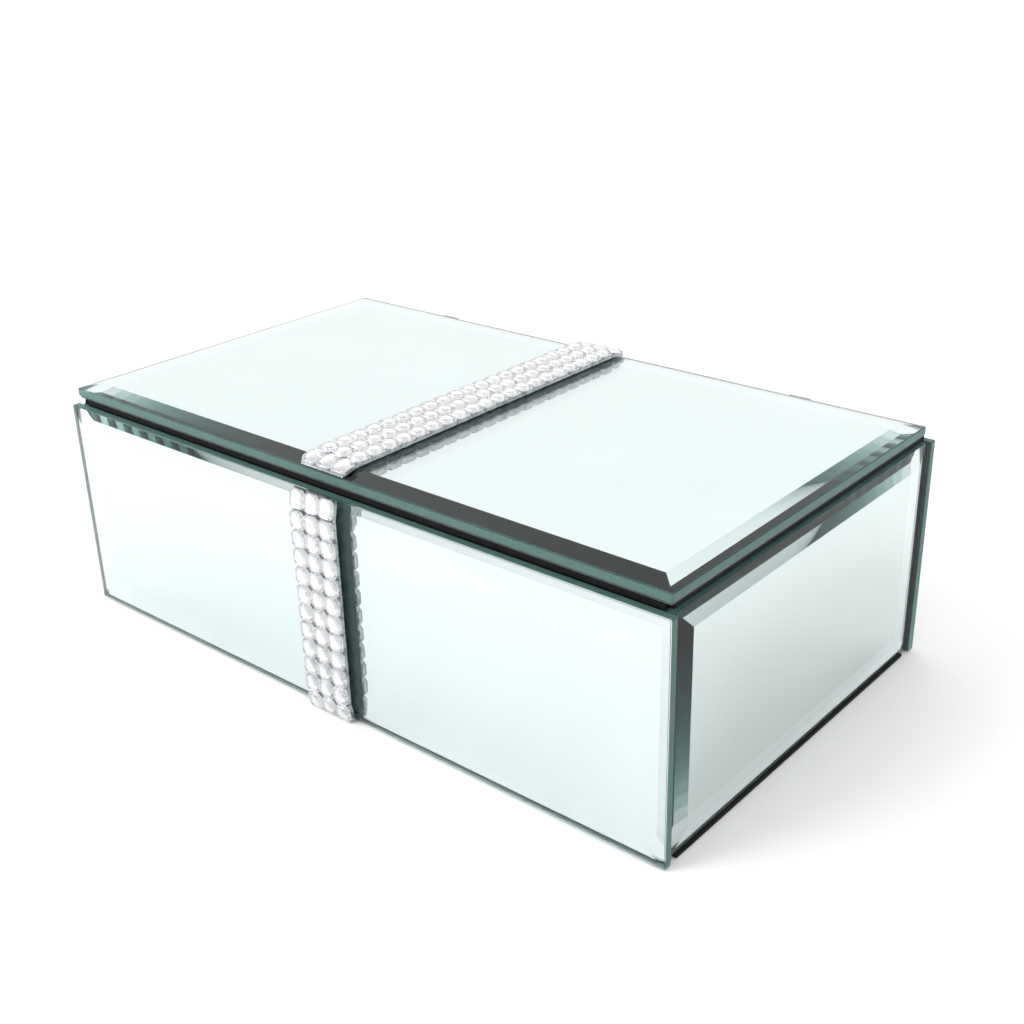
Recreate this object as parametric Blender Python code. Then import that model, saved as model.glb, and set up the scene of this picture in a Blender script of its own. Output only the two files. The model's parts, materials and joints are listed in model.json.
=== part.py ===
"""Mirrored vanity trinket box with a hinged lid and two bands of crystals.

The case is a black fibreboard tray clad in four bevelled mirror plates and lined with velvet. The lid
is one bevelled mirror plate on an inset board, carried at the back by two stop hinges. Metres, +Z up,
the front of the box faces -Y, and the origin is under the middle of the whole box, at table height.
"""

import math

import bmesh
import bpy
from mathutils import Matrix, Vector

MM = 0.001
GAP = 0.3 * MM  # air left between two pieces that touch

# Case: outline over the faces of the mirrors, and heights above the table.
CASE_LENGTH = 240.0 * MM
CASE_DEPTH = 142.0 * MM
FOOT_THICKNESS = 1.2 * MM
END_PLATE_BOTTOM = FOOT_THICKNESS + GAP
LONG_PLATE_BOTTOM = 0.4 * MM
PLATE_TOP = 72.4 * MM
WALL_TOP = 70.8 * MM

# Layers of every mirrored side, from the outside inwards.
GLASS_THICKNESS = 4.0 * MM
GLASS_EDGE = 2.8 * MM
BEVEL_WIDTH = 6.0 * MM
ARRIS = 0.25 * MM
SILVER_THICKNESS = 0.3 * MM
SILVER_MARGIN = 0.5 * MM
WALL_THICKNESS = 4.0 * MM
LINING_THICKNESS = 1.2 * MM

# Floor of the case.
FLOOR_THICKNESS = 3.0 * MM
FLOOR_PAD_THICKNESS = 2.2 * MM
FOOT_INSET = 0.6 * MM
FOOT_CORNER = 2.5 * MM

# Lid.
LID_GLASS_BOTTOM = 75.2 * MM
LID_GLASS_LENGTH = 237.4 * MM
LID_GLASS_FRONT = -67.6 * MM
LID_GLASS_BACK = 65.0 * MM
LID_BOARD_BOTTOM = WALL_TOP + GAP
LID_BOARD_THICKNESS = 3.2 * MM
LID_BOARD_CLEARANCE = 0.8 * MM
LID_BOARD_BACK = 64.0 * MM
LID_RIM_BOTTOM = 72.8 * MM
LID_RIM_HALF_X = 117.8 * MM
LID_RIM_FRONT = -67.0 * MM
LID_RIM_BACK = 68.0 * MM
LID_RIM_CORNER = 1.6 * MM
LID_PAD_THICKNESS = 2.5 * MM
LID_PAD_CLEARANCE = 0.8 * MM

# Crystal bands: a flexible carrier and faceted stones in three columns.
STONE_PITCH = 6.0 * MM
STONE_COLUMNS = 3
FRONT_ROWS = 12
LID_ROWS = 22
STONE_WIDTH = 5.6 * MM
STONE_CORNER = 1.3 * MM
STONE_HEIGHT = 2.0 * MM
STONE_GIRDLE = 0.9 * MM
STONE_TABLE = 0.62  # width of the flat table over the width of the stone
STONE_WEB = 0.4 * MM  # clear skin that joins the stones of one band
CARRIER_WIDTH = 18.6 * MM
CARRIER_THICKNESS = 0.6 * MM

# Stop hinges: knuckles on the top edge of the back mirror, leaves let into the boards.
HINGE_X = 75.0 * MM
HINGE_LENGTH = 22.0 * MM
KNUCKLE_RADIUS = 1.5 * MM
BORE_RADIUS = 0.95 * MM
PIN_RADIUS = 0.65 * MM
PIN_HEAD_RADIUS = 1.1 * MM
PIN_HEAD_LENGTH = 0.5 * MM
OUTER_KNUCKLE = 7.0 * MM
LEAF_THICKNESS = 0.6 * MM
LEAF_DEPTH = 12.0 * MM
AXIS_Y = 68.4 * MM
AXIS_Z = 74.3 * MM
STOP_ANGLE = math.radians(100.0)
TAIL_REACH = 2.6 * MM
SCREW_X = 7.0 * MM
SCREW_RADIUS = 0.7 * MM
SCREW_HEAD_RADIUS = 1.3 * MM
SCREW_LENGTH = 3.0 * MM
SIDES = 16

# Distances worked out from the ones above.
BEVEL_DROP = GLASS_THICKNESS - GLASS_EDGE
BEVEL_ANGLE = math.atan2(BEVEL_DROP, BEVEL_WIDTH)
GLASS_TO_WALL = GLASS_THICKNESS + SILVER_THICKNESS + 2 * GAP
WALL_HALF_X = CASE_LENGTH / 2 - GLASS_TO_WALL
WALL_HALF_Y = CASE_DEPTH / 2 - GLASS_TO_WALL
ROOM_HALF_X = WALL_HALF_X - WALL_THICKNESS - GAP
ROOM_HALF_Y = WALL_HALF_Y - WALL_THICKNESS - GAP
FLOOR_TOP = END_PLATE_BOTTOM + FLOOR_THICKNESS
LID_BOARD_TOP = LID_BOARD_BOTTOM + LID_BOARD_THICKNESS
STONE_SEAT = CARRIER_THICKNESS + 2 * GAP
BAND_HEIGHT = STONE_SEAT + STONE_HEIGHT
FRAME_SHIFT = BAND_HEIGHT / 2  # the front band makes the box deeper on one side only

# Turn about Z of each side of the case. Local X runs along the side and local Z points outwards.
SIDE_TURN = {"front": 0.0, "right": math.pi / 2, "back": math.pi, "left": -math.pi / 2}


def clear_scene():
    for old in list(bpy.data.objects):
        bpy.data.objects.remove(old, do_unlink=True)


def make_material(name, colour, roughness, metallic=0.0, transmission=0.0, sheen=0.0):
    material = bpy.data.materials.new(name)
    material.use_nodes = True
    shader = material.node_tree.nodes["Principled BSDF"]
    shader.inputs["Base Color"].default_value = (*colour, 1.0)
    shader.inputs["Roughness"].default_value = roughness
    shader.inputs["Metallic"].default_value = metallic
    shader.inputs["Transmission Weight"].default_value = transmission
    shader.inputs["Sheen Weight"].default_value = sheen
    material.diffuse_color = (*colour, 1.0)
    return material


def mesh_from(bm, name, smooth=False):
    """A mesh made of the bmesh's faces, turned to face outwards."""
    bmesh.ops.recalc_face_normals(bm, faces=bm.faces)
    mesh = bpy.data.meshes.new(name)
    bm.to_mesh(mesh)
    bm.free()
    if smooth:
        mesh.shade_smooth()
        mesh.set_sharp_from_angle(angle=math.radians(35))
    return mesh


def add_object(name, mesh, parent, look, location=(0, 0, 0), rotation=(0, 0, 0)):
    """One named object with a material of its own, made from a (colour, roughness, ...) look."""
    placed = bpy.data.objects.new(name, mesh)
    placed.parent = parent
    placed.location = location
    placed.rotation_euler = rotation
    if look is not None and not mesh.materials:
        mesh.materials.append(make_material(name + "_material", *look))
    bpy.context.scene.collection.objects.link(placed)
    return placed


def add_empty(name, parent=None, location=(0, 0, 0)):
    empty = bpy.data.objects.new(name, None)
    empty.empty_display_size = 0.02
    empty.parent = parent
    empty.location = location
    bpy.context.scene.collection.objects.link(empty)
    return empty


def add_box(bm, low, high):
    """A closed box between two opposite corners."""
    size = Vector(high) - Vector(low)
    middle = (Vector(high) + Vector(low)) / 2
    matrix = Matrix.Translation(middle) @ Matrix.Diagonal((*size, 1.0))
    bmesh.ops.create_cube(bm, size=1.0, matrix=matrix)


def add_cylinder(bm, radius_start, radius_end, start, end, sides=SIDES):
    """A closed cylinder or cone between two points."""
    along = Vector(end) - Vector(start)
    turn = Vector((0, 0, 1)).rotation_difference(along).to_matrix().to_4x4()
    matrix = Matrix.Translation((Vector(start) + Vector(end)) / 2) @ turn
    bmesh.ops.create_cone(
        bm,
        cap_ends=True,
        segments=sides,
        radius1=radius_start,
        radius2=radius_end,
        depth=along.length,
        matrix=matrix,
    )


def box_mesh(name, low, high, chamfer=0.0):
    """A box, with every edge chamfered when a chamfer is given."""
    bm = bmesh.new()
    add_box(bm, low, high)
    if chamfer > 0:
        bmesh.ops.bevel(bm, geom=bm.edges[:], offset=chamfer, segments=1, affect="EDGES")
    return mesh_from(bm, name)


def rounded_sheet_mesh(name, half_x, half_y, low_z, high_z, radius, segments=4):
    """A flat sheet with its four upright corners rounded."""
    bm = bmesh.new()
    add_box(bm, (-half_x, -half_y, low_z), (half_x, half_y, high_z))
    upright = [e for e in bm.edges if abs(e.verts[0].co.z - e.verts[1].co.z) > 1e-6]
    bmesh.ops.bevel(bm, geom=upright, offset=radius, segments=segments, affect="EDGES")
    return mesh_from(bm, name, smooth=True)


def bevelled_plate_mesh(name, width, height):
    """A glass plate: back face on local z = 0, wide bevel round the front face, edges arrised."""
    bm = bmesh.new()
    add_box(bm, (-width / 2, -height / 2, 0), (width / 2, height / 2, GLASS_EDGE))
    front = next(f for f in bm.faces if f.calc_center_median().z > GLASS_EDGE * 0.9)
    bmesh.ops.inset_region(
        bm, faces=[front], thickness=BEVEL_WIDTH, use_boundary=True, use_even_offset=True
    )
    for vert in front.verts:
        vert.co.z = GLASS_THICKNESS
    rim = []
    for edge in bm.edges:
        ends = [v.co for v in edge.verts]
        outside = all(
            abs(abs(c.x) - width / 2) < 1e-6 or abs(abs(c.y) - height / 2) < 1e-6 for c in ends
        )
        if outside:
            rim.append(edge)
    bmesh.ops.bevel(bm, geom=rim, offset=ARRIS, segments=1, affect="EDGES")
    return mesh_from(bm, name)


def strip_mesh(name, width, length, lift, thickness):
    """A thin strip laid over the field of a plate and down both its bevels, lifted off the glass."""
    half = length / 2
    bend = half - BEVEL_WIDTH
    under = [(-half, -BEVEL_DROP), (-bend, 0.0), (bend, 0.0), (half, -BEVEL_DROP)]
    bm = bmesh.new()
    rings = []
    for x in (-width / 2, width / 2):
        low = [bm.verts.new((x, y, z + lift)) for y, z in under]
        high = [bm.verts.new((x, y, z + lift + thickness)) for y, z in reversed(under)]
        rings.append(low + high)
    bm.faces.new(rings[0])
    bm.faces.new(rings[1])
    count = len(rings[0])
    for i in range(count):
        j = (i + 1) % count
        bm.faces.new((rings[0][i], rings[0][j], rings[1][j], rings[1][i]))
    return mesh_from(bm, name)


def stone_ring(width, corner, z):
    """Eight corners of a square stone with cut corners, at one height."""
    near = width / 2 - corner
    far = width / 2
    plan = [(far, near), (near, far), (-near, far), (-far, near)]
    plan += [(-x, -y) for x, y in plan]
    return [Vector((x, y, z)) for x, y in plan]


def add_stone(bm, matrix):
    """One cushion stone: a straight wall up to the girdle, then a crown with a flat table."""
    table = STONE_TABLE
    rings = [
        stone_ring(STONE_WIDTH, STONE_CORNER, STONE_WEB / 4),
        stone_ring(STONE_WIDTH, STONE_CORNER, STONE_GIRDLE),
        stone_ring(STONE_WIDTH * table, STONE_CORNER * table, STONE_HEIGHT),
    ]
    verts = [[bm.verts.new(matrix @ point) for point in ring] for ring in rings]
    bm.faces.new(list(reversed(verts[0])))
    bm.faces.new(verts[-1])
    for lower, upper in zip(verts, verts[1:]):
        for i in range(8):
            j = (i + 1) % 8
            bm.faces.new((lower[i], lower[j], upper[j], upper[i]))


def crystals_mesh(name, rows):
    """The stones of one band on their web. The end rows lie on the bevels of the plate."""
    bm = bmesh.new()
    for row in range(rows):
        y = (row - (rows - 1) / 2) * STONE_PITCH
        tilt = 0.0
        sink = 0.0
        if row in (0, rows - 1):
            tilt = -math.copysign(BEVEL_ANGLE, y)
            sink = BEVEL_DROP / 2
        for column in range(STONE_COLUMNS):
            x = (column - (STONE_COLUMNS - 1) / 2) * STONE_PITCH
            seat = Matrix.Translation((x, y, -sink)) @ Matrix.Rotation(tilt, 4, "X")
            add_stone(bm, seat @ Matrix.Translation((0, 0, STONE_SEAT)))
    stones = mesh_from(bm, "stones")
    width = STONE_COLUMNS * STONE_PITCH
    web = strip_mesh("web", width, rows * STONE_PITCH, STONE_SEAT, STONE_WEB)
    return boolean_mesh(name, web, [stones], [])


def boolean_mesh(name, first, joined, cuts):
    """The mesh of one solid after others are joined to it and the cuts are taken away."""
    base = bpy.data.objects.new(name, first)
    bpy.context.scene.collection.objects.link(base)
    operands = [(mesh, "UNION") for mesh in joined] + [(mesh, "DIFFERENCE") for mesh in cuts]
    helpers = []
    for mesh, operation in operands:
        helper = bpy.data.objects.new(mesh.name, mesh)
        bpy.context.scene.collection.objects.link(helper)
        helper.hide_render = True
        helper.display_type = "WIRE"
        modifier = base.modifiers.new(mesh.name, "BOOLEAN")
        modifier.operation = operation
        modifier.solver = "EXACT"
        modifier.object = helper
        helpers.append(helper)
    depsgraph = bpy.context.evaluated_depsgraph_get()
    result = bpy.data.meshes.new_from_object(base.evaluated_get(depsgraph))
    result.name = name
    for used in [base, *helpers]:
        bpy.data.objects.remove(used, do_unlink=True)
    return result


def cylinder_mesh(name, radius_start, radius_end, start, end, sides=SIDES):
    bm = bmesh.new()
    add_cylinder(bm, radius_start, radius_end, start, end, sides)
    return mesh_from(bm, name)


def side_location(side, outward, height):
    """Where a layer stands whose local origin is this far out from the middle of the case."""
    turn = SIDE_TURN[side]
    return (math.sin(turn) * outward, -math.cos(turn) * outward, height)


def side_rotation(side):
    return (math.pi / 2, 0.0, SIDE_TURN[side])


# Looks: colour, roughness, metallic, transmission, sheen.
GLASS_LOOK = ((0.86, 0.97, 0.94), 0.02, 0.0, 1.0)
SILVER_LOOK = ((0.93, 0.95, 0.94), 0.05, 1.0)
BOARD_LOOK = ((0.012, 0.012, 0.014), 0.55)
VELVET_LOOK = ((0.015, 0.014, 0.017), 0.95, 0.0, 0.0, 0.6)
FELT_LOOK = ((0.01, 0.01, 0.012), 0.95, 0.0, 0.0, 0.3)
STONE_LOOK = ((0.95, 0.96, 0.97), 0.03, 0.0, 0.6)
CARRIER_LOOK = ((0.75, 0.78, 0.78), 0.25, 0.6)
STEEL_LOOK = ((0.72, 0.72, 0.73), 0.22, 1.0)


def build_mirrored_sides(case):
    """Glass, silvering, wall board and velvet of the four sides, each built flat and stood up."""
    for side in SIDE_TURN:
        is_long = side in ("front", "back")
        face = (CASE_DEPTH if is_long else CASE_LENGTH) / 2
        glass_back = face - GLASS_THICKNESS
        silver_back = glass_back - GAP - SILVER_THICKNESS
        wall_back = silver_back - GAP - WALL_THICKNESS
        lining_back = wall_back - GAP - LINING_THICKNESS
        rotation = side_rotation(side)

        bottom = LONG_PLATE_BOTTOM if is_long else END_PLATE_BOTTOM
        height = PLATE_TOP - bottom
        width = CASE_LENGTH if is_long else 2 * WALL_HALF_Y
        mesh = bevelled_plate_mesh("mirror_glass_" + side, width, height)
        place = side_location(side, glass_back, bottom + height / 2)
        add_object("mirror_glass_" + side, mesh, case, GLASS_LOOK, place, rotation)

        half_x = (width / 2 - SILVER_MARGIN) if is_long else width / 2
        half_y = height / 2 - SILVER_MARGIN
        mesh = box_mesh(
            "silvering_" + side, (-half_x, -half_y, 0), (half_x, half_y, SILVER_THICKNESS)
        )
        place = side_location(side, silver_back, bottom + height / 2)
        add_object("silvering_" + side, mesh, case, SILVER_LOOK, place, rotation)

        half_x = WALL_HALF_X if is_long else WALL_HALF_Y - WALL_THICKNESS - GAP
        half_y = (WALL_TOP - END_PLATE_BOTTOM) / 2
        centre_z = (WALL_TOP + END_PLATE_BOTTOM) / 2
        mesh = box_mesh("wall_" + side, (-half_x, -half_y, 0), (half_x, half_y, WALL_THICKNESS))
        if side == "back":
            mesh = wall_with_hinge_pockets(mesh, centre_z)
        place = side_location(side, wall_back, centre_z)
        add_object("wall_" + side, mesh, case, BOARD_LOOK, place, rotation)

        half_x = ROOM_HALF_X if is_long else ROOM_HALF_Y - LINING_THICKNESS - GAP
        low = FLOOR_TOP + GAP
        high = WALL_TOP - GAP
        half_y = (high - low) / 2
        mesh = box_mesh(
            "lining_" + side, (-half_x, -half_y, 0), (half_x, half_y, LINING_THICKNESS)
        )
        place = side_location(side, lining_back, (low + high) / 2)
        add_object("lining_" + side, mesh, case, VELVET_LOOK, place, rotation)


def wall_with_hinge_pockets(wall, centre_z):
    """The back wall with a pocket in its outer face and two pilot holes for each lower leaf."""
    cuts = []
    pocket_floor = WALL_THICKNESS - LEAF_THICKNESS - GAP
    leaf_low = WALL_TOP - LEAF_DEPTH - centre_z
    over = 1.0 * MM
    for hinge_x in (-HINGE_X, HINGE_X):
        reach = HINGE_LENGTH / 2 + GAP
        low = (hinge_x - reach, leaf_low - GAP, pocket_floor)
        high = (hinge_x + reach, WALL_TOP - centre_z + over, WALL_THICKNESS + over)
        cuts.append(box_mesh("pocket", low, high))
        for screw_x in (-SCREW_X, SCREW_X):
            y = leaf_low + LEAF_DEPTH / 2
            deep = WALL_THICKNESS - SCREW_LENGTH - GAP
            start = (hinge_x + screw_x, y, deep)
            end = (hinge_x + screw_x, y, WALL_THICKNESS)
            cuts.append(cylinder_mesh("pilot", SCREW_RADIUS + GAP, SCREW_RADIUS + GAP, start, end))
    return boolean_mesh("wall_back", wall, [], cuts)


def build_floor(case):
    """Black sheet that the box stands on, floor board and velvet pad."""
    mesh = rounded_sheet_mesh(
        "foot_sheet",
        CASE_LENGTH / 2 - FOOT_INSET,
        WALL_HALF_Y,
        0.0,
        FOOT_THICKNESS,
        FOOT_CORNER,
    )
    add_object("foot_sheet", mesh, case, FELT_LOOK)

    low = (-ROOM_HALF_X, -ROOM_HALF_Y, END_PLATE_BOTTOM)
    high = (ROOM_HALF_X, ROOM_HALF_Y, FLOOR_TOP)
    add_object("floor_board", box_mesh("floor_board", low, high), case, BOARD_LOOK)

    half_x = ROOM_HALF_X - LINING_THICKNESS - GAP
    half_y = ROOM_HALF_Y - LINING_THICKNESS - GAP
    low = (-half_x, -half_y, FLOOR_TOP + GAP)
    high = (half_x, half_y, FLOOR_TOP + GAP + FLOOR_PAD_THICKNESS)
    mesh = box_mesh("floor_pad", low, high, chamfer=0.6 * MM)
    add_object("floor_pad", mesh, case, VELVET_LOOK)


def build_front_band(case):
    """Carrier and stones down the middle of the front mirror."""
    height = PLATE_TOP - LONG_PLATE_BOTTOM
    place = (0.0, -CASE_DEPTH / 2, LONG_PLATE_BOTTOM + height / 2)
    rotation = side_rotation("front")
    mesh = strip_mesh("band_carrier_front", CARRIER_WIDTH, height, GAP, CARRIER_THICKNESS)
    add_object("band_carrier_front", mesh, case, CARRIER_LOOK, place, rotation)
    mesh = crystals_mesh("crystals_front", FRONT_ROWS)
    add_object("crystals_front", mesh, case, STONE_LOOK, place, rotation)


def build_lid(lid):
    """Lid plate, silvering, board, pad and band. The lid's empty stands on the hinge axis."""
    depth = LID_GLASS_BACK - LID_GLASS_FRONT
    centre_y = (LID_GLASS_BACK + LID_GLASS_FRONT) / 2
    above = Vector((0.0, -AXIS_Y, -AXIS_Z))

    mesh = bevelled_plate_mesh("lid_mirror_glass", LID_GLASS_LENGTH, depth)
    place = Vector((0.0, centre_y, LID_GLASS_BOTTOM)) + above
    add_object("lid_mirror_glass", mesh, lid, GLASS_LOOK, place)

    half_x = LID_GLASS_LENGTH / 2 - SILVER_MARGIN
    half_y = depth / 2 - SILVER_MARGIN
    mesh = box_mesh("lid_silvering", (-half_x, -half_y, 0), (half_x, half_y, SILVER_THICKNESS))
    place = Vector((0.0, centre_y, LID_GLASS_BOTTOM - GAP - SILVER_THICKNESS)) + above
    add_object("lid_silvering", mesh, lid, SILVER_LOOK, place)

    half_x = WALL_HALF_X + GAP - LID_BOARD_CLEARANCE
    front = -(WALL_HALF_Y + GAP - LID_BOARD_CLEARANCE)
    low = Vector((-half_x, front, LID_BOARD_BOTTOM)) + above
    high = Vector((half_x, LID_BOARD_BACK, LID_BOARD_TOP)) + above
    rim = rounded_sheet_mesh(
        "rim",
        LID_RIM_HALF_X,
        (LID_RIM_BACK - LID_RIM_FRONT) / 2,
        LID_RIM_BOTTOM,
        LID_BOARD_TOP,
        LID_RIM_CORNER,
    )
    rim.transform(Matrix.Translation(above + Vector((0, (LID_RIM_BACK + LID_RIM_FRONT) / 2, 0))))
    mesh = lid_board_with_pockets(box_mesh("lid_board", low, high), rim)
    add_object("lid_board", mesh, lid, BOARD_LOOK)

    half_x = ROOM_HALF_X - LINING_THICKNESS - LID_PAD_CLEARANCE
    half_y = ROOM_HALF_Y - LINING_THICKNESS - LID_PAD_CLEARANCE
    top = LID_BOARD_BOTTOM - GAP
    low = Vector((-half_x, -half_y, top - LID_PAD_THICKNESS)) + above
    high = Vector((half_x, half_y, top)) + above
    mesh = box_mesh("lid_pad", low, high, chamfer=0.8 * MM)
    add_object("lid_pad", mesh, lid, VELVET_LOOK)

    place = Vector((0.0, centre_y, LID_GLASS_BOTTOM + GLASS_THICKNESS)) + above
    mesh = strip_mesh("band_carrier_lid", CARRIER_WIDTH, depth, GAP, CARRIER_THICKNESS)
    add_object("band_carrier_lid", mesh, lid, CARRIER_LOOK, place)
    mesh = crystals_mesh("crystals_lid", LID_ROWS)
    add_object("crystals_lid", mesh, lid, STONE_LOOK, place)


def lid_board_with_pockets(board, rim):
    """The lid board and its rim, with a pocket, a notch and two pilot holes for each upper leaf."""
    cuts = []
    under = LID_BOARD_BOTTOM - AXIS_Z
    back = LID_BOARD_BACK - AXIS_Y
    over = 1.0 * MM
    for hinge_x in (-HINGE_X, HINGE_X):
        reach = HINGE_LENGTH / 2 + GAP
        low = (hinge_x - reach, upper_leaf_front() - GAP, under - over)
        high = (hinge_x + reach, back + over, under + LEAF_THICKNESS + GAP)
        cuts.append(box_mesh("pocket", low, high))
        notch = reach + PIN_HEAD_LENGTH + 2 * GAP
        low = (hinge_x - notch, back, under - over)
        high = (hinge_x + notch, LID_RIM_BACK - AXIS_Y + over, over)
        cuts.append(box_mesh("notch", low, high))
        for screw_x in (-SCREW_X, SCREW_X):
            start = (hinge_x + screw_x, upper_screw_y(), under)
            end = (hinge_x + screw_x, upper_screw_y(), under + SCREW_LENGTH - 0.3 * MM)
            cuts.append(cylinder_mesh("pilot", SCREW_RADIUS + GAP, SCREW_RADIUS + GAP, start, end))
    return boolean_mesh("lid_board", board, [rim], cuts)


def upper_leaf_front():
    """Front edge of an upper leaf, measured from the hinge axis."""
    return LID_GLASS_BACK - AXIS_Y - LEAF_DEPTH * 0.875


def upper_screw_y():
    return upper_leaf_front() + 4.0 * MM


def knuckle_spans():
    """The three stretches along X of one hinge, outer, middle, outer, with running gaps."""
    half = HINGE_LENGTH / 2
    inner = half - OUTER_KNUCKLE
    return [(-half, -inner), (-inner + GAP, inner - GAP), (inner, half)]


def lower_leaf_mesh():
    """Leaf on the back wall: plate, two knuckles on tabs, and the stop that joins them behind."""
    half = HINGE_LENGTH / 2
    top = WALL_TOP - AXIS_Z
    face = WALL_HALF_Y - AXIS_Y
    plate_back = face - LEAF_THICKNESS
    stop_low = -KNUCKLE_RADIUS
    stop_high = stop_low + LEAF_THICKNESS
    first, _, last = knuckle_spans()
    joined = []
    for low_x, high_x in (first, last):
        tab_top = stop_high
        joined.append(box_mesh("tab", (low_x, plate_back, top - 0.5 * MM), (high_x, face, tab_top)))
        joined.append(box_mesh("bridge", (low_x, plate_back, stop_low), (high_x, 0.0, tab_top)))
        axis = ((low_x, 0, 0), (high_x, 0, 0))
        joined.append(cylinder_mesh("knuckle", KNUCKLE_RADIUS, KNUCKLE_RADIUS, *axis))
        joined.append(box_mesh("link", (low_x, 0.0, stop_low), (high_x, TAIL_REACH, stop_high)))
    stop_front = KNUCKLE_RADIUS + GAP
    joined.append(
        box_mesh("stop", (-half, stop_front, stop_low), (half, TAIL_REACH, stop_high))
    )
    cuts = [
        cylinder_mesh("bore", BORE_RADIUS, BORE_RADIUS, (-half - MM, 0, 0), (half + MM, 0, 0))
    ]
    screw_z = top - LEAF_DEPTH / 2
    for screw_x in (-SCREW_X, SCREW_X):
        cuts.append(
            cylinder_mesh(
                "countersink",
                SCREW_HEAD_RADIUS + GAP,
                SCREW_RADIUS + GAP,
                (screw_x, face + 0.01 * MM, screw_z),
                (screw_x, plate_back - 0.01 * MM, screw_z),
            )
        )
    plate = box_mesh("plate", (-half, plate_back, top - LEAF_DEPTH), (half, face, top))
    mesh = boolean_mesh("hinge_lower_leaf", plate, joined, cuts)
    mesh.shade_smooth()
    mesh.set_sharp_from_angle(angle=math.radians(35))
    return mesh


def upper_leaf_mesh():
    """Leaf under the lid board: plate, riser, middle knuckle and the tail that meets the stop."""
    half = HINGE_LENGTH / 2
    under = LID_BOARD_BOTTOM - AXIS_Z
    back = LID_GLASS_BACK - AXIS_Y
    riser_front = back - 0.7 * MM
    _, (low_x, high_x), _ = knuckle_spans()
    riser = box_mesh("riser", (low_x, riser_front, under), (high_x, back, 0.0))
    bar = box_mesh("bar", (low_x, riser_front, -0.9 * MM), (high_x, -1.1 * MM, 0.0))
    knuckle = cylinder_mesh(
        "knuckle", KNUCKLE_RADIUS, KNUCKLE_RADIUS, (low_x, 0, 0), (high_x, 0, 0)
    )
    # With the lid at its stop the tail lies just above the lower leaf's stop.
    rest = -KNUCKLE_RADIUS + LEAF_THICKNESS + GAP
    tail = box_mesh("tail", (low_x, 1.1 * MM, rest), (high_x, TAIL_REACH, rest + LEAF_THICKNESS))
    tail.transform(Matrix.Rotation(STOP_ANGLE, 4, "X"))
    cuts = [
        cylinder_mesh("bore", BORE_RADIUS, BORE_RADIUS, (-half - MM, 0, 0), (half + MM, 0, 0))
    ]
    for screw_x in (-SCREW_X, SCREW_X):
        cuts.append(
            cylinder_mesh(
                "countersink",
                SCREW_HEAD_RADIUS + GAP,
                SCREW_RADIUS + GAP,
                (screw_x, upper_screw_y(), under - 0.01 * MM),
                (screw_x, upper_screw_y(), under + LEAF_THICKNESS + 0.01 * MM),
            )
        )
    plate = box_mesh(
        "plate", (-half, upper_leaf_front(), under), (half, back, under + LEAF_THICKNESS)
    )
    mesh = boolean_mesh("hinge_upper_leaf", plate, [riser, bar, knuckle, tail], cuts)
    mesh.shade_smooth()
    mesh.set_sharp_from_angle(angle=math.radians(35))
    return mesh


def turned_mesh(name, profile, axis):
    """A solid turned about local X or Z from (radius, distance along the axis) points."""
    bm = bmesh.new()
    rings = []
    for radius, along in profile:
        ring = []
        for i in range(SIDES):
            angle = 2 * math.pi * i / SIDES
            u, v = radius * math.cos(angle), radius * math.sin(angle)
            ring.append(bm.verts.new((along, u, v) if axis == "X" else (u, v, along)))
        rings.append(ring)
    bm.faces.new(rings[0])
    bm.faces.new(rings[-1])
    for near, far in zip(rings, rings[1:]):
        for i in range(SIDES):
            j = (i + 1) % SIDES
            bm.faces.new((near[i], near[j], far[j], far[i]))
    return mesh_from(bm, name, smooth=True)


def pin_mesh():
    """Hinge pin along X with a flat head at each end."""
    head = HINGE_LENGTH / 2 + GAP
    end = head + PIN_HEAD_LENGTH
    profile = [(PIN_HEAD_RADIUS, -end), (PIN_HEAD_RADIUS, -head), (PIN_RADIUS, -head)]
    profile += [(radius, -along) for radius, along in reversed(profile)]
    return turned_mesh("hinge_pin", profile, "X")


def screw_mesh():
    """Countersunk screw: the face of its head on local z = 0, its shank down to a blunt point."""
    profile = [
        (SCREW_HEAD_RADIUS, 0.0),
        (SCREW_RADIUS, -LEAF_THICKNESS),
        (SCREW_RADIUS, -SCREW_LENGTH + 1.3 * MM),
        (SCREW_RADIUS * 0.35, -SCREW_LENGTH + 0.6 * MM),
    ]
    return turned_mesh("hinge_screw", profile, "Z")


def build_hinges(case, lid):
    """Two stop hinges: lower leaves, pins and screws on the case, upper leaves on the lid."""
    lower = lower_leaf_mesh()
    upper = upper_leaf_mesh()
    pin = pin_mesh()
    screw = screw_mesh()
    for name, hinge_x in (("left", -HINGE_X), ("right", HINGE_X)):
        place = (hinge_x, AXIS_Y, AXIS_Z)
        add_object("hinge_lower_leaf_" + name, lower, case, STEEL_LOOK, place)
        add_object("hinge_pin_" + name, pin, case, STEEL_LOOK, place)
        add_object("hinge_upper_leaf_" + name, upper, lid, STEEL_LOOK, (hinge_x, 0.0, 0.0))
        for number, screw_x in enumerate((hinge_x - SCREW_X, hinge_x + SCREW_X), start=1):
            place = (screw_x, WALL_HALF_Y, WALL_TOP - LEAF_DEPTH / 2)
            turn = (-math.pi / 2, 0.0, 0.0)
            add_object(f"screw_lower_{name}_{number}", screw, case, STEEL_LOOK, place, turn)
            place = (screw_x, upper_screw_y(), LID_BOARD_BOTTOM - AXIS_Z)
            turn = (math.pi, 0.0, 0.0)
            add_object(f"screw_upper_{name}_{number}", screw, lid, STEEL_LOOK, place, turn)


def main():
    clear_scene()
    case = add_empty("case_frame", location=(0.0, FRAME_SHIFT, 0.0))
    lid = add_empty("lid_axis", parent=case, location=(0.0, AXIS_Y, AXIS_Z))
    build_floor(case)
    build_mirrored_sides(case)
    build_front_band(case)
    build_lid(lid)
    build_hinges(case, lid)
    bpy.context.view_layer.update()


main()
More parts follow.
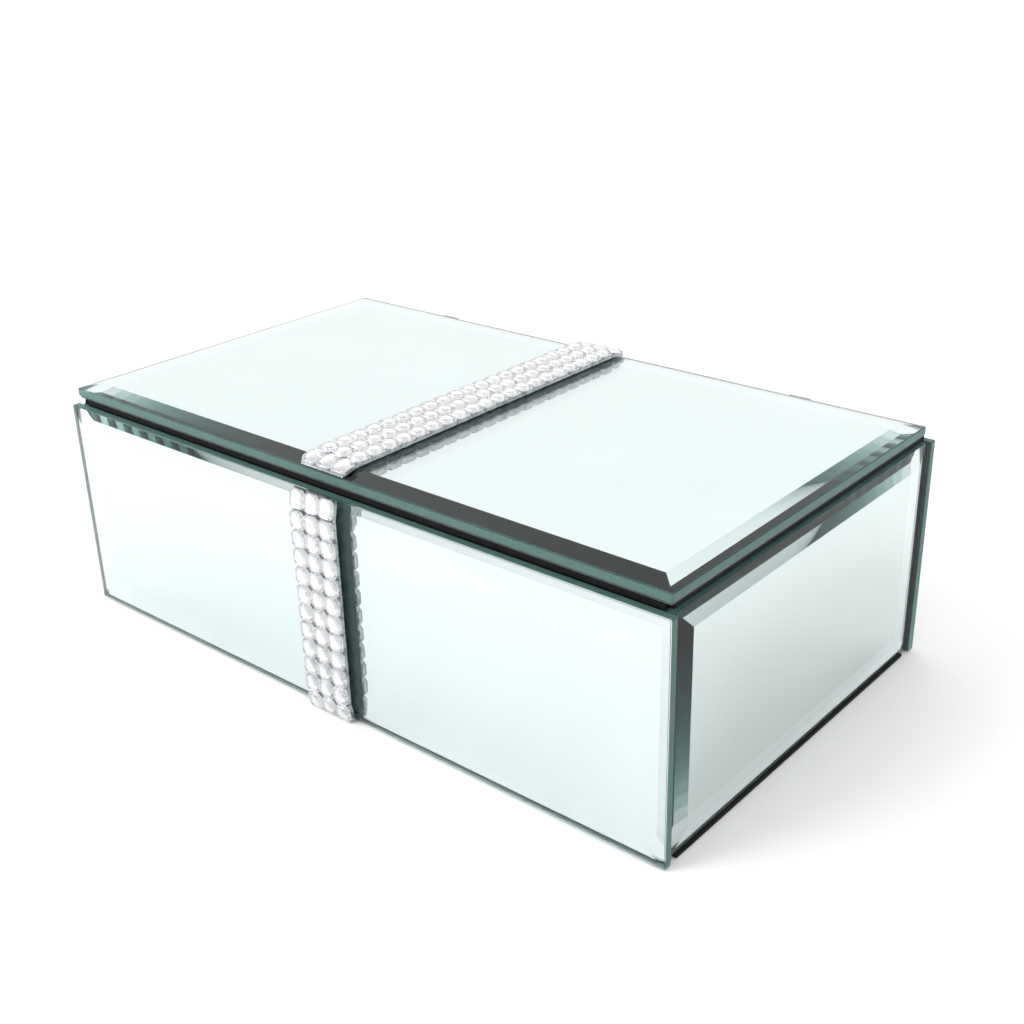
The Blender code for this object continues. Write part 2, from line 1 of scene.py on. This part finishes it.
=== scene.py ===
"""Looks of the mirrored trinket box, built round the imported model.

Metres, +Z up, front towards -Y.
"""

import json
import math
import random

import bmesh
import bpy
from mathutils import Matrix, Vector


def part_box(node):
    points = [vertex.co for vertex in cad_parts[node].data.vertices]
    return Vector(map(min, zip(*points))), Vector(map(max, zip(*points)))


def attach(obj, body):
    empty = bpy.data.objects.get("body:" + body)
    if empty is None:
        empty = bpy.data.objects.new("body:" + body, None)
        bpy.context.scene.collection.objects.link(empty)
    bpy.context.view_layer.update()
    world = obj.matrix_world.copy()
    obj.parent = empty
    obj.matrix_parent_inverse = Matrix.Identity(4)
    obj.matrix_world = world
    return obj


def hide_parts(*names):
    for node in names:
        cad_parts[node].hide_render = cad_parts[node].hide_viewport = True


MM = 0.001
TOUCH = 1e-6  # places closer together than this count as one

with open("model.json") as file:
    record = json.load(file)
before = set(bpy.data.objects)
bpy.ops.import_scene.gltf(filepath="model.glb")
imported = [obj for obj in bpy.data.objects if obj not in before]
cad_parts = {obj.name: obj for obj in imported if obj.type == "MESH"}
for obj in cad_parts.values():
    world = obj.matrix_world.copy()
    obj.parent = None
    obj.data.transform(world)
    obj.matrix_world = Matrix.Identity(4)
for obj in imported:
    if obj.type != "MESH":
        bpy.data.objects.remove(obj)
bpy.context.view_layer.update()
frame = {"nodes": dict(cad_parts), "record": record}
scene = bpy.context.scene

# ---------------------------------------------------------------- camera

SENSOR_WIDTH = 36.0  # mm
CAMERA_PLACE = Vector((0.2741, -0.3012, 0.2284))
CAMERA_RIGHT = Vector((0.76323, 0.64566, -0.02451))
CAMERA_UP = Vector((-0.25303, 0.33358, 0.90813))
CAMERA_FORWARD = Vector((-0.59452, 0.68691, -0.41797))
CAMERA_LENS = 48.49  # mm


def add_camera():
    data = bpy.data.cameras.new("camera")
    data.lens = CAMERA_LENS
    data.sensor_width = SENSOR_WIDTH
    data.clip_start = 0.01
    data.clip_end = 50.0
    camera = bpy.data.objects.new("camera", data)
    scene.collection.objects.link(camera)
    columns = (CAMERA_RIGHT, CAMERA_UP, -CAMERA_FORWARD)
    turn = Matrix([[column[i] for column in columns] for i in range(3)])
    camera.matrix_world = Matrix.Translation(CAMERA_PLACE) @ turn.to_4x4()
    scene.camera = camera


# ---------------------------------------------------------------- materials


class Nodes:
    """Short ways to build one node material."""

    def __init__(self, name):
        self.material = bpy.data.materials.new(name)
        self.material.use_nodes = True
        self.tree = self.material.node_tree
        self.shader = self.tree.nodes["Principled BSDF"]
        self.output = self.tree.nodes["Material Output"]

    def add(self, kind, **values):
        node = self.tree.nodes.new(kind)
        for key, value in values.items():
            if key in node.inputs:
                node.inputs[key].default_value = value
            else:
                setattr(node, key, value)
        return node

    def link(self, source, target):
        self.tree.links.new(source, target)

    def set(self, **values):
        """Plain values on the shader's own sockets; underscores stand for spaces."""
        for key, value in values.items():
            self.shader.inputs[key.replace("_", " ")].default_value = value

    def place(self):
        return self.add("ShaderNodeTexCoord").outputs["Object"]

    def noise(self, scale, detail=3.0, roughness=0.5, source=None):
        node = self.add("ShaderNodeTexNoise", Scale=scale, Detail=detail, Roughness=roughness)
        self.link(source or self.place(), node.inputs["Vector"])
        return node.outputs["Fac"]

    def ramp(self, value, *stops):
        """Map a 0..1 value through (position, colour or grey) stops."""
        node = self.add("ShaderNodeValToRGB")
        while len(node.color_ramp.elements) < len(stops):
            node.color_ramp.elements.new(0.5)
        for element, (position, colour) in zip(node.color_ramp.elements, stops):
            element.position = position
            if not hasattr(colour, "__len__"):
                colour = (colour,) * 3
            element.color = (*colour, 1.0)
        self.link(value, node.inputs["Fac"])
        return node.outputs["Color"]

    def math(self, operation, a, b=0.0):
        node = self.add("ShaderNodeMath", operation=operation)
        for socket, value in zip(node.inputs, (a, b)):
            if isinstance(value, (int, float)):
                socket.default_value = value
            else:
                self.link(value, socket)
        return node.outputs[0]

    def bump(self, height, distance, strength=1.0):
        node = self.add("ShaderNodeBump", Distance=distance, Strength=strength)
        self.link(height, node.inputs["Height"])
        self.link(node.outputs["Normal"], self.shader.inputs["Normal"])

    def to(self, source, socket):
        self.link(source, self.shader.inputs[socket])


GLASS_TINT = (0.0, 0.6, 0.54, 1)
GLASS_DENSITY = 17.0  # per metre
GROUND_CLARITY = 0.72  # share of light that a ground edge lets through


def float_glass(name, ground, ior, shine=1.0):
    """Green float glass. Its polished faces are clear; its ground edges are frosted.

    The shine scales the strength of its reflections.
    """
    m = Nodes(name)
    m.set(Base_Color=(1, 1, 1, 1), Transmission_Weight=1.0, IOR=ior)
    m.set(Specular_Tint=(0.9 * shine, shine, shine, 1))
    if ground:
        grain = m.noise(900.0, 3.0, 0.6)
        m.to(m.ramp(grain, (0.3, 0.42), (0.7, 0.6)), "Roughness")
        m.to(m.ramp(grain, (0.3, (0.13, 0.31, 0.28)), (0.7, (0.21, 0.41, 0.38))), "Base Color")
        m.set(Transmission_Weight=GROUND_CLARITY)
        m.bump(grain, 0.00002, 0.4)
    else:
        smears = m.noise(18.0, 4.0, 0.6)
        m.to(m.ramp(smears, (0.6, 0.0), (0.9, 0.003)), "Roughness")
    absorb = m.add("ShaderNodeVolumeAbsorption", Color=GLASS_TINT, Density=GLASS_DENSITY)
    m.link(absorb.outputs["Volume"], m.output.inputs["Volume"])
    return m.material


def mirror_silver():
    """Silver laid on the back of the glass, with the faint mottle of its paint."""
    m = Nodes("mirror_silver")
    m.set(Metallic=1.0, Roughness=0.0)
    cloud = m.noise(26.0, 2.0)
    m.to(m.ramp(cloud, (0.3, (0.8, 0.81, 0.81)), (0.7, (0.82, 0.83, 0.83))), "Base Color")
    return m.material


def backing_paint():
    """The grey paint that seals the silver."""
    m = Nodes("backing_paint")
    m.set(Roughness=0.5)
    speck = m.noise(600.0, 4.0)
    m.to(m.ramp(speck, (0.3, (0.055, 0.06, 0.062)), (0.7, (0.085, 0.09, 0.092))), "Base Color")
    m.bump(speck, 0.00003, 0.4)
    return m.material


def black_board():
    """Fibreboard wrapped in matt black paper."""
    m = Nodes("black_board")
    m.set(Roughness=0.7, Specular_IOR_Level=0.12)
    fibre = m.noise(420.0, 6.0, 0.65)
    m.to(m.ramp(fibre, (0.3, 0.003), (0.75, 0.011)), "Base Color")
    m.bump(fibre, 0.00008, 0.6)
    return m.material


def velvet(name, colour, sheen):
    """Short pile: a soft sheen over brushed patches of nap, with the pile's own grain."""
    m = Nodes(name)
    m.set(Roughness=0.95, Specular_IOR_Level=0.15, Sheen_Weight=sheen, Sheen_Roughness=0.35)
    m.set(Sheen_Tint=(0.5, 0.5, 0.52, 1))
    pile = m.noise(2600.0, 2.0, 0.7)
    nap = m.noise(38.0, 3.0, 0.55)
    mix = m.math("MULTIPLY", pile, nap)
    dark = tuple(0.45 * c for c in colour)
    light = tuple(1.7 * c for c in colour)
    m.to(m.ramp(mix, (0.12, dark), (0.42, light)), "Base Color")
    m.bump(m.math("ADD", pile, m.math("MULTIPLY", nap, 2.0)), 0.00018, 0.7)
    return m.material


def nickel():
    """Bright nickel plate with a fine brushed grain along the leaf."""
    m = Nodes("nickel_plate")
    m.set(Metallic=1.0)
    coord = m.add("ShaderNodeMapping", vector_type="TEXTURE")
    m.link(m.place(), coord.inputs["Vector"])
    coord.inputs["Scale"].default_value = (20.0, 1.0, 1.0)
    grain = m.noise(5200.0, 2.0, 0.5, coord.outputs["Vector"])
    m.to(m.ramp(grain, (0.3, 0.24), (0.75, 0.34)), "Roughness")
    m.to(m.ramp(grain, (0.3, (0.7, 0.69, 0.67)), (0.7, (0.78, 0.77, 0.75))), "Base Color")
    m.bump(grain, 0.000004, 0.15)
    return m.material


def stone_glass():
    """Clear stone, with the faint tool marks of moulded facets."""
    m = Nodes("stone_clear")
    m.set(Base_Color=(1, 1, 1, 1), Transmission_Weight=1.0, IOR=1.5)
    marks = m.noise(700.0, 2.0)
    m.to(m.ramp(marks, (0.45, 0.0), (0.75, 0.05)), "Roughness")
    return m.material


def stone_foil():
    """The soft silver foil under each stone."""
    m = Nodes("stone_foil")
    m.set(Metallic=1.0)
    cloud = m.noise(420.0, 2.0)
    m.to(m.ramp(cloud, (0.3, (0.8, 0.81, 0.82)), (0.7, (0.93, 0.93, 0.94))), "Base Color")
    m.to(m.ramp(cloud, (0.3, 0.2), (0.7, 0.36)), "Roughness")
    return m.material


def strip_glue():
    """The green-grey film that holds a strip to the mirror, seen in the glass beside it."""
    m = Nodes("strip_glue")
    m.set(Roughness=0.4)
    streak = m.noise(300.0, 4.0, 0.6)
    m.to(m.ramp(streak, (0.3, (0.09, 0.22, 0.2)), (0.7, (0.14, 0.3, 0.27))), "Base Color")
    return m.material


def silvered_strip():
    """The worn silvery plastic of the strip and its settings."""
    m = Nodes("silvered_strip")
    m.set(Metallic=0.85)
    worn = m.noise(520.0, 4.0, 0.6)
    m.to(m.ramp(worn, (0.32, (0.26, 0.27, 0.28)), (0.68, (0.62, 0.63, 0.64))), "Base Color")
    m.to(m.ramp(worn, (0.3, 0.2), (0.7, 0.4)), "Roughness")
    m.bump(worn, 0.00004, 0.5)
    return m.material


# ---------------------------------------------------------------- set


FLOOR_RADIUS = 4.0
FLOOR_LEVEL = -0.1 * MM  # just clear of the box's foot
FLOOR_WHITE = 0.88
WORLD_STRENGTH = 1.25
SKY_STOPS = [(0.0, 0.72), (0.06, 0.82), (0.12, 1.0), (0.3, 1.0)]  # height, brightness
KEY_PLACE = (-0.75, -1.1, 1.0)
KEY_SIZE = 1.1
KEY_POWER = 17.0  # watts


def add_stage():
    """A plain pale floor."""
    bm = bmesh.new()
    bmesh.ops.create_circle(bm, cap_ends=True, segments=96, radius=FLOOR_RADIUS)
    mesh = bpy.data.meshes.new("floor")
    bm.to_mesh(mesh)
    bm.free()
    floor = bpy.data.objects.new("floor", mesh)
    floor.location.z = FLOOR_LEVEL
    scene.collection.objects.link(floor)
    m = Nodes("paper_floor")
    m.set(Roughness=0.9, Specular_IOR_Level=0.1)
    m.set(Base_Color=(FLOOR_WHITE, FLOOR_WHITE, FLOOR_WHITE, 1))
    mesh.materials.append(m.material)


def add_world():
    """An even white sky, a little dimmer at the horizon."""
    world = bpy.data.worlds.new("studio")
    scene.world = world
    world.use_nodes = True
    tree = world.node_tree
    back = tree.nodes["Background"]
    coord = tree.nodes.new("ShaderNodeTexCoord")
    split = tree.nodes.new("ShaderNodeSeparateXYZ")
    tree.links.new(coord.outputs["Generated"], split.inputs[0])
    ramp = tree.nodes.new("ShaderNodeValToRGB")
    while len(ramp.color_ramp.elements) < len(SKY_STOPS):
        ramp.color_ramp.elements.new(0.5)
    for element, (at, grey) in zip(ramp.color_ramp.elements, SKY_STOPS):
        element.position = at
        element.color = (grey, grey, grey, 1)
    tree.links.new(split.outputs["Z"], ramp.inputs["Fac"])
    tree.links.new(ramp.outputs["Color"], back.inputs["Color"])
    back.inputs["Strength"].default_value = WORLD_STRENGTH


def add_softbox(name, place, size, power):
    """A round soft light that faces the origin."""
    data = bpy.data.lights.new(name, "AREA")
    data.shape = "DISK"
    data.size = size
    data.energy = power
    light = bpy.data.objects.new(name, data)
    light.location = place
    light.rotation_euler = (-Vector(place)).to_track_quat("-Z", "Y").to_euler()
    scene.collection.objects.link(light)


scene.view_settings.view_transform = "Standard"
# Light runs far along inside the plates, so it needs more bounces than usual.
scene.cycles.max_bounces = 40
scene.cycles.glossy_bounces = 32
scene.cycles.transmission_bounces = 16
add_camera()
add_stage()
add_world()
add_softbox("key_softbox", KEY_PLACE, KEY_SIZE, KEY_POWER)

# The index sets how far a plate's bevels bend the view. These values are tuned to the
# look of each plate and aren't all those of real glass: a low one turns the front's
# bevels pale, a high one turns the sides' dark.
LID_INDEX = 1.52
FRONT_INDEX = 1.33
SIDE_INDEX = 1.57
LID_SHINE = 0.8
# Painted shade: the side plates reflect only half as strongly at their faces as the front's, so
# the sides look darker than the front though all the plates are the same glass.
SIDE_SHADED_SHINE = 0.5

GLASS = float_glass("float_glass", False, LID_INDEX, LID_SHINE)
GROUND = float_glass("ground_glass", True, LID_INDEX)
SILVER = mirror_silver()
BOARD = black_board()
PAINT = backing_paint()
VELVET = velvet("black_velvet", (0.014, 0.0135, 0.015), 0.42)
FELT = velvet("black_felt", (0.012, 0.012, 0.013), 0.12)
NICKEL = nickel()
STONE = stone_glass()
FOIL = stone_foil()
STRIP = silvered_strip()
GLUE = strip_glue()
LOOKS = {
    "silvering": PAINT,
    "lid_silvering": PAINT,
    "wall": BOARD,
    "floor_board": BOARD,
    "lid_board": BOARD,
    "hinge": NICKEL,
    "screw": NICKEL,
}  # by the start of a node's name; the longest match counts


def dress():
    """Give the CAD nodes that stay in view their materials."""
    for name, node in frame["nodes"].items():
        key = max((k for k in LOOKS if name.startswith(k)), key=len, default=None)
        if key is None:
            continue
        for slot in node.material_slots:
            slot.material = LOOKS[key]


dress()


# ---------------------------------------------------------------- mirror plates

GLASS_EDGE = 2.8 * MM
BEVEL_WIDTH = 6.0 * MM
ARRIS = 0.25 * MM
BEVEL_NORMAL_Z = 0.95  # polished faces point further up than this, ground ones less
SILVER_MARGIN = 0.8 * MM  # bare, painted border round the silver
FACE_SLOT, SILVER_SLOT, GROUND_SLOT, PAINT_SLOT = range(4)  # a plate's materials, in order


def body_of(node):
    bodies = frame["record"]["behaviour"]["bodies"]
    return next(body for body, members in bodies.items() if node in members)


def node_size(node, turn):
    """Middle of a node's box and its size along the axes of a turned local frame."""
    low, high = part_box(node)
    span = turn.inverted() @ (high - low)
    return (low + high) / 2, Vector(map(abs, span))


def mirror_plate(node, turn, glass):
    """A plate of float glass with its silver on the back face, in place of the plain one.

    The turn stands the plate up: local Z points out of the mirror's face.
    """
    middle, size = node_size(node, turn)
    width, height, thick = size
    bm = bmesh.new()
    blank = Matrix.Diagonal((width, height, GLASS_EDGE, 1))
    raised = Matrix.Translation((0, 0, GLASS_EDGE / 2))
    bmesh.ops.create_cube(bm, size=1.0, matrix=raised @ blank)
    front = max(bm.faces, key=lambda face: face.calc_center_median().z)
    bmesh.ops.inset_region(
        bm, faces=[front], thickness=BEVEL_WIDTH, use_boundary=True, use_even_offset=True
    )
    for vert in front.verts:
        vert.co.z = thick
    rim = [
        edge
        for edge in bm.edges
        if all(
            abs(abs(v.co.x) - width / 2) < TOUCH or abs(abs(v.co.y) - height / 2) < TOUCH
            for v in edge.verts
        )
    ]
    bmesh.ops.bevel(bm, geom=rim, offset=ARRIS, segments=2, affect="EDGES")
    bmesh.ops.recalc_face_normals(bm, faces=bm.faces)
    silver = min(bm.faces, key=lambda face: face.normal.z * face.calc_area())
    for face in bm.faces:
        polished = face.normal.z >= BEVEL_NORMAL_Z
        face.material_index = FACE_SLOT if polished else GROUND_SLOT
    silver.material_index = SILVER_SLOT
    margin = bmesh.ops.inset_region(
        bm, faces=[silver], thickness=SILVER_MARGIN, use_boundary=True, use_even_offset=True
    )
    for face in margin["faces"]:
        face.material_index = PAINT_SLOT
    mesh = bpy.data.meshes.new(node + "_plate")
    bm.to_mesh(mesh)
    bm.free()
    for material in (glass, SILVER, GROUND, PAINT):
        mesh.materials.append(material)
    plate = bpy.data.objects.new(node + "_plate", mesh)
    scene.collection.objects.link(plate)
    back = middle - turn @ Vector((0, 0, thick / 2))
    plate.matrix_world = Matrix.Translation(back) @ turn.to_4x4()
    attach(plate, body_of(node))
    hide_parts(node)


def stand(angle):
    """Turn a flat plate up on edge, facing the front, then about Z."""
    upright = Matrix.Rotation(math.pi / 2, 3, "X")
    return Matrix.Rotation(math.radians(angle), 3, "Z") @ upright


FRONT_GLASS = float_glass("front_glass", False, FRONT_INDEX)
# The side glass has its reflections dimmed, which paints shade on the sides.
SIDE_GLASS = float_glass("side_glass", False, SIDE_INDEX, SIDE_SHADED_SHINE)
mirror_plate("mirror_glass_front", stand(0), FRONT_GLASS)
mirror_plate("mirror_glass_right", stand(90), SIDE_GLASS)
mirror_plate("mirror_glass_back", stand(180), FRONT_GLASS)
mirror_plate("mirror_glass_left", stand(270), SIDE_GLASS)
mirror_plate("lid_mirror_glass", Matrix.Identity(3), GLASS)

# ---------------------------------------------------------------- stone bands

STONE_PITCH = 6.0 * MM
STONE_COLUMNS = 3
BEVEL_DROP = 1.2 * MM
BEVEL_ANGLE = math.atan2(BEVEL_DROP, BEVEL_WIDTH)
STRIP_LIFT = 0.3 * MM  # air under the strip, as in the CAD
STRIP_THICKNESS = 0.6 * MM
STRIP_SHY = 0.12  # share of a pitch by which the strip is narrower than its stones
CUP_WIDTH = 5.96 * MM
CUP_WALL = 0.16 * MM
CUP_HEIGHT = 1.75 * MM
CORNER_SHARE = 0.17  # cut corner over width
# Rings of a stone from its table down to its base: width and height.
STONE_RINGS = (
    (3.6 * MM, 2.86 * MM),
    (4.9 * MM, 2.62 * MM),
    (5.62 * MM, 2.15 * MM),
    (5.74 * MM, 1.6 * MM),
    (4.9 * MM, 1.02 * MM),
)
STONE_POINT = 0.92 * MM
FOIL_FROM_RING = 3  # the faces below this ring are foil
FRONT_ROWS = 12
LID_ROWS = 22
CUP_FLOOR = 0.88 * MM
CUP_ROUND = 0.1 * MM
TABLE_CROWN = 0.04 * MM
SMOOTH_LIMIT = 40.0  # degrees
ASKEW_TURN = 0.03  # radians, the most that a stone turns in its seat
ASKEW_LEAN = 0.01  # radians, the most that it leans
band_random = random.Random(11)


def cut_square(width):
    """Corners of a square with cut corners, counter-clockwise."""
    far = width / 2
    near = far - width * CORNER_SHARE
    quarter = [(far, -near), (far, near), (near, far), (-near, far)]
    return quarter + [(-x, -y) for x, y in quarter]


def ring_of(bm, matrix, width, height):
    return [bm.verts.new(matrix @ Vector((x, y, height))) for x, y in cut_square(width)]


def bridge(bm, upper, lower, material=0):
    for i in range(len(upper)):
        j = (i + 1) % len(upper)
        bm.faces.new((upper[i], lower[i], lower[j], upper[j])).material_index = material


def add_stone(bm, matrix):
    """A foiled cushion stone: table, crown facets, girdle and a shallow foiled base."""
    rings = [ring_of(bm, matrix, width, height) for width, height in STONE_RINGS]
    crown = bm.verts.new(matrix @ Vector((0, 0, STONE_RINGS[0][1] + TABLE_CROWN)))
    point = bm.verts.new(matrix @ Vector((0, 0, STONE_POINT)))
    corners = len(rings[0])
    for i in range(corners):
        j = (i + 1) % corners
        bm.faces.new((rings[0][i], rings[0][j], crown))
        bm.faces.new((rings[-1][j], rings[-1][i], point)).material_index = 1
    for number, (upper, lower) in enumerate(zip(rings, rings[1:])):
        bridge(bm, upper, lower, int(number >= FOIL_FROM_RING))


def add_cup(bm, matrix):
    """The thin-walled setting round one stone, with its floor under it."""
    outer = CUP_WIDTH
    inner = CUP_WIDTH - 2 * CUP_WALL
    top = CUP_HEIGHT
    foot = STRIP_LIFT + STRIP_THICKNESS * 0.5
    rings = [
        ring_of(bm, matrix, outer, foot),
        ring_of(bm, matrix, outer, top - CUP_ROUND),
        ring_of(bm, matrix, outer - CUP_WALL, top),
        ring_of(bm, matrix, inner, top - CUP_ROUND),
        ring_of(bm, matrix, inner, CUP_FLOOR),
    ]
    for lower, upper in zip(rings, rings[1:]):
        bridge(bm, upper, lower)
    bm.faces.new(rings[-1])
    bm.faces.new(list(reversed(rings[0])))


def seats(rows):
    """Where each stone stands on its band, and how it tilts on the bevels at the band's ends."""
    for row in range(rows):
        y = (row - (rows - 1) / 2) * STONE_PITCH
        ends = row in (0, rows - 1)
        tilt = -math.copysign(BEVEL_ANGLE, y) if ends else 0.0
        sink = BEVEL_DROP / 2 if ends else 0.0
        for column in range(STONE_COLUMNS):
            x = (column - (STONE_COLUMNS - 1) / 2) * STONE_PITCH
            yield Matrix.Translation((x, y, -sink)) @ Matrix.Rotation(tilt, 4, "X")


def strip_profile(bm, length, width):
    """The thin strip over the field and down both bevels, under the cups."""
    half = length / 2
    bend = half - BEVEL_WIDTH
    line = [(-half, -BEVEL_DROP), (-bend, 0.0), (bend, 0.0), (half, -BEVEL_DROP)]
    sides = []
    for x in (-width / 2, width / 2):
        low = [bm.verts.new((x, y, z + STRIP_LIFT)) for y, z in line]
        high = [bm.verts.new((x, y, z + STRIP_LIFT + STRIP_THICKNESS)) for y, z in reversed(line)]
        sides.append(low + high)
    bm.faces.new(list(reversed(sides[0])))
    bm.faces.new(sides[1])
    corners = len(sides[0])
    for i in range(corners):
        j = (i + 1) % corners
        face = bm.faces.new((sides[0][i], sides[0][j], sides[1][j], sides[1][i]))
        face.material_index = int(i < len(line) - 1)


def finish_piece(bm, name, placed, body, materials, replaced, smooth=False):
    """Make the mesh a piece that rides on a body and stands for a CAD node."""
    bmesh.ops.recalc_face_normals(bm, faces=bm.faces)
    mesh = bpy.data.meshes.new(name)
    bm.to_mesh(mesh)
    bm.free()
    for material in materials:
        mesh.materials.append(material)
    if smooth:
        mesh.shade_smooth()
        mesh.set_sharp_from_angle(angle=math.radians(SMOOTH_LIMIT))
    piece = bpy.data.objects.new(name, mesh)
    scene.collection.objects.link(piece)
    piece.matrix_world = placed
    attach(piece, body)
    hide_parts(replaced)
    return piece


def stone_band(name, placed, rows, body, stones_node, strip_node):
    """A strip of settings with a stone in each, every stone set a little askew."""
    stones = bmesh.new()
    strip = bmesh.new()
    strip_profile(strip, rows * STONE_PITCH, (STONE_COLUMNS - STRIP_SHY) * STONE_PITCH)
    for seat in seats(rows):
        add_cup(strip, seat)
        turn = band_random.uniform(-ASKEW_TURN, ASKEW_TURN)
        lean = band_random.uniform(-ASKEW_LEAN, ASKEW_LEAN)
        roll = band_random.uniform(-ASKEW_LEAN, ASKEW_LEAN)
        loose = Matrix.Rotation(turn, 4, "Z") @ Matrix.Rotation(lean, 4, "X")
        add_stone(stones, seat @ loose @ Matrix.Rotation(roll, 4, "Y"))
    finish_piece(stones, "stones_" + name, placed, body, (STONE, FOIL), stones_node)
    finish_piece(strip, "strip_" + name, placed, body, (STRIP, GLUE), strip_node)


front_low, front_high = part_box("mirror_glass_front")
lid_low, lid_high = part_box("lid_mirror_glass")
stone_band(
    "front",
    Matrix.Translation((0, front_low.y, (front_low.z + front_high.z) / 2))
    @ Matrix.Rotation(math.pi / 2, 4, "X"),
    FRONT_ROWS,
    "case",
    "crystals_front",
    "band_carrier_front",
)
stone_band(
    "lid",
    Matrix.Translation((0, (lid_low.y + lid_high.y) / 2, lid_high.z)),
    LID_ROWS,
    "lid",
    "crystals_lid",
    "band_carrier_lid",
)

# ---------------------------------------------------------------- soft pieces


PAD_LAYERS = 2  # rows of the grid on a pad's sides


def pad_grid(low, high, spacing, inset):
    """A closed box with an even grid on all faces, its sides drawn in before it swells."""
    bm = bmesh.new()
    low = low + Vector((inset, inset, 0))
    high = high - Vector((inset, inset, 0))
    counts = [max(1, round((b - a) / spacing)) for a, b in zip(low, high)]
    counts[2] = PAD_LAYERS
    verts = {}

    def vert(i, j, k):
        if (i, j, k) not in verts:
            share = (i / counts[0], j / counts[1], k / counts[2])
            place = [a + (b - a) * t for a, b, t in zip(low, high, share)]
            verts[i, j, k] = bm.verts.new(place)
        return verts[i, j, k]

    for axis in range(3):
        u, v = [a for a in range(3) if a != axis]
        for at in (0, counts[axis]):
            for p in range(counts[u]):
                for q in range(counts[v]):
                    corners = []
                    for dp, dq in ((0, 0), (1, 0), (1, 1), (0, 1)):
                        index = [0, 0, 0]
                        index[axis], index[u], index[v] = at, p + dp, q + dq
                        corners.append(vert(*index))
                    bm.faces.new(corners)
    bmesh.ops.recalc_face_normals(bm, faces=bm.faces)
    return bm


CLOTH_FRAMES = 20
CLOTH_PRESSURE = 4.0
PAD_SPACING = 4.0 * MM
PAD_INSET = 0.3 * MM
PAD_DROP = 0.9 * MM
PAD_SWELL = 0.8 * MM  # the most that any point moves


def swell(pad, held):
    """Blow the pad up by cloth simulation, held at one height, then scale its moves down."""
    mesh = pad.data
    start = [v.co.copy() for v in mesh.vertices]
    pins = pad.vertex_groups.new(name="held")
    pins.add([v.index for v in mesh.vertices if abs(v.co.z - held) < TOUCH], 1.0, "REPLACE")
    cloth = pad.modifiers.new("cloth", "CLOTH")
    cloth.settings.vertex_group_mass = "held"
    cloth.settings.use_pressure = True
    cloth.settings.uniform_pressure_force = CLOTH_PRESSURE
    cloth.settings.effector_weights.gravity = 0.0
    cloth.settings.tension_stiffness = 15.0
    cloth.settings.compression_stiffness = 15.0
    cloth.settings.shear_stiffness = 5.0
    cloth.settings.bending_stiffness = 0.5
    cloth.point_cache.frame_start = 1
    cloth.point_cache.frame_end = CLOTH_FRAMES
    for number in range(1, CLOTH_FRAMES + 1):
        scene.frame_set(number)
    swollen = pad.evaluated_get(bpy.context.evaluated_depsgraph_get())
    ends = [v.co.copy() for v in swollen.to_mesh().vertices]
    swollen.to_mesh_clear()
    pad.modifiers.remove(cloth)
    reach = max((b - a).length for a, b in zip(start, ends))
    share = min(1.0, PAD_SWELL / reach)
    for vert, a, b in zip(mesh.vertices, start, ends):
        vert.co = a.lerp(b, share)
    scene.frame_set(1)


def velvet_pad(node, body, up):
    """A thin foam pad wrapped in velvet: it swells from a smaller box into its own room."""
    low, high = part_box(node)
    held = high.z if up < 0 else low.z
    if up > 0:
        high = high - Vector((0, 0, PAD_DROP))
    else:
        low = low + Vector((0, 0, PAD_DROP))
    bm = pad_grid(low, high, PAD_SPACING, PAD_INSET)
    mesh = bpy.data.meshes.new(node + "_velvet")
    bm.to_mesh(mesh)
    bm.free()
    pad = bpy.data.objects.new(node + "_velvet", mesh)
    scene.collection.objects.link(pad)
    swell(pad, held)
    smooth = pad.modifiers.new("smooth", "SUBSURF")
    smooth.levels = 1
    smooth.render_levels = 1
    mesh.shade_smooth()
    mesh.materials.append(VELVET)
    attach(pad, body)
    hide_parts(node)


LINING_ROUND = 0.4 * MM
FELT_ROUND = 0.3 * MM
FLAT_ANGLE = 0.01  # radians; faces that meet flatter than this are joined
SHARP_ANGLE = 0.5  # radians; edges sharper than this are rounded


def rounded_copy(node, name, body, material, width):
    """The node's own shape with soft wrapped edges."""
    mesh = frame["nodes"][node].data.copy()
    bm = bmesh.new()
    bm.from_mesh(mesh)
    bmesh.ops.remove_doubles(bm, verts=bm.verts, dist=TOUCH)
    bmesh.ops.dissolve_limit(bm, angle_limit=FLAT_ANGLE, verts=bm.verts, edges=bm.edges)
    sharp = [e for e in bm.edges if len(e.link_faces) == 2 and e.calc_face_angle() > SHARP_ANGLE]
    bmesh.ops.bevel(bm, geom=sharp, offset=width, segments=3, affect="EDGES", profile=0.5)
    mesh.materials.clear()
    return finish_piece(bm, name, Matrix.Identity(4), body, (material,), node, True)


velvet_pad("floor_pad", "case", 1)
velvet_pad("lid_pad", "lid", -1)
for side in ("front", "right", "back", "left"):
    node = "lining_" + side
    lining = rounded_copy(node, node + "_velvet", "case", VELVET, LINING_ROUND)
felt = rounded_copy("foot_sheet", "foot_felt", "case", FELT, FELT_ROUND)
